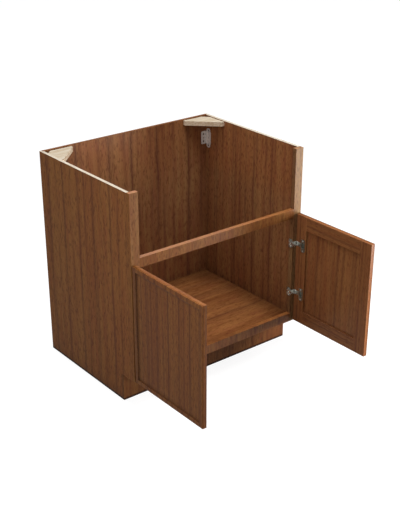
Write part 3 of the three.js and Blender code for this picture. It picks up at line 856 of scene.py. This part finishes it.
# ------------------------------------------------------------------ stage
def make_floor(stage):
    """A wide pale floor that the camera sees as white, apart from the cabinet's shadow."""
    mesh = bpy.data.meshes.new("floor")
    shape = bmesh.new()
    bmesh.ops.create_grid(shape, x_segments=1, y_segments=1, size=FLOOR_SIZE / 2)
    shape.to_mesh(mesh)
    shape.free()
    floor = bpy.data.objects.new("floor", mesh)
    floor.location = (0.0, 0.0, -FLOOR_GAP)
    bpy.context.scene.collection.objects.link(floor)
    paint = new_paint("pale_floor")
    diffuse = paint.node("ShaderNodeBsdfDiffuse", None, {"Color": tuple(stage.floor)})
    glow = paint.node(
        "ShaderNodeEmission", None, {"Strength": paint.seen_rays() * stage.floor_glow})
    lifted = paint.node(
        "ShaderNodeAddShader", None, {0: diffuse.outputs["BSDF"], 1: glow.outputs["Emission"]})
    paint.node("ShaderNodeOutputMaterial", None, {"Surface": lifted.outputs["Shader"]})
    mesh.materials.append(paint.owner)


def make_sky(scene, stage):
    """An even sky that lights weakly and that the eye sees as white."""
    world = bpy.data.worlds.new("studio")
    scene.world = world
    paint = Paint(world)
    strength = paint.seen_rays() * (1.0 - stage.sky) + stage.sky
    sky = paint.node("ShaderNodeBackground", None, {"Color": WHITE, "Strength": strength})
    paint.node("ShaderNodeOutputWorld", None, {"Surface": sky.outputs["Background"]})


def add_aimed(name, data, place, way):
    """Adds a lamp or a camera that looks along a way."""
    added = bpy.data.objects.new(name, data)
    added.location = place
    added.rotation_mode = "QUATERNION"
    added.rotation_quaternion = way.to_track_quat("-Z", "Y")
    bpy.context.scene.collection.objects.link(added)
    return added


def make_lamps(stage):
    """Softboxes above, low on the right and on the left, and a broad light from behind."""
    for name, (place, target, size) in SOFTBOXES.items():
        data = bpy.data.lights.new(name, "AREA")
        data.shape = "SQUARE"
        data.size = size
        data.energy = getattr(stage, name)
        add_aimed(name, data, place, Vector(target) - Vector(place))
    rear = bpy.data.lights.new("rear_light", "SUN")
    rear.energy = stage.rear_light
    rear.angle = REAR_SPREAD
    add_aimed("rear_light", rear, REAR_PLACE, -Vector(REAR_PLACE))


def make_camera(scene, stage):
    data = bpy.data.cameras.new("camera")
    data.sensor_width = SENSOR_WIDTH
    data.lens = stage.camera_lens
    data.clip_end = VIEW_END
    azimuth, elevation = stage.camera_azimuth, stage.camera_elevation
    back = Vector((
        math.sin(azimuth) * math.cos(elevation),
        -math.cos(azimuth) * math.cos(elevation),
        math.sin(elevation)))
    scene.camera = add_aimed("camera", data, stage.camera_place, -back)


class CABINET_OT_stage(bpy.types.Operator):
    """Put up the floor, the lamps, the sky and the camera"""

    bl_idname = "cabinet.stage"
    bl_label = "Set the stage"

    def execute(self, context):
        scene = context.scene
        stage = scene.cabinet_stage
        make_floor(stage)
        make_sky(scene, stage)
        make_lamps(stage)
        make_camera(scene, stage)
        scene.view_settings.view_transform = "Standard"
        return {"FINISHED"}


# ------------------------------------------------------------------ add-on
OPERATORS = (
    CABINET_OT_panels,
    CABINET_OT_face_frame,
    CABINET_OT_doors,
    CABINET_OT_corner_braces,
    CABINET_OT_steel,
    CABINET_OT_stage,
)
SETTINGS = {
    "cabinet_wood": WoodSettings,
    "cabinet_steel": SteelSettings,
    "cabinet_stage": StageSettings,
}


class CABINET_PT_sidebar(bpy.types.Panel):
    """Lists the settings, and the steps that finish the cabinet with them"""

    bl_idname = "CABINET_PT_sidebar"
    bl_label = "Sink base cabinet"
    bl_space_type = "VIEW_3D"
    bl_region_type = "UI"
    bl_category = "Cabinet"

    def draw(self, context):
        for operator in OPERATORS:
            self.layout.operator(operator.bl_idname)
        for name, group in SETTINGS.items():
            box = self.layout.box()
            for setting in group.__annotations__:
                box.prop(getattr(context.scene, name), setting)


CLASSES = (*SETTINGS.values(), *OPERATORS, CABINET_PT_sidebar)


def register():
    for cls in CLASSES:
        bpy.utils.register_class(cls)
    for name, group in SETTINGS.items():
        setattr(bpy.types.Scene, name, bpy.props.PointerProperty(type=group))


def unregister():
    for name in SETTINGS:
        delattr(bpy.types.Scene, name)
    for cls in reversed(CLASSES):
        bpy.utils.unregister_class(cls)


def main():
    register()
    bpy.ops.cabinet.panels()
    bpy.ops.cabinet.face_frame()
    bpy.ops.cabinet.doors()
    bpy.ops.cabinet.corner_braces()
    bpy.ops.cabinet.steel()
    bpy.ops.cabinet.stage()
    bpy.context.view_layer.update()


if __name__ == "__main__":
    main()
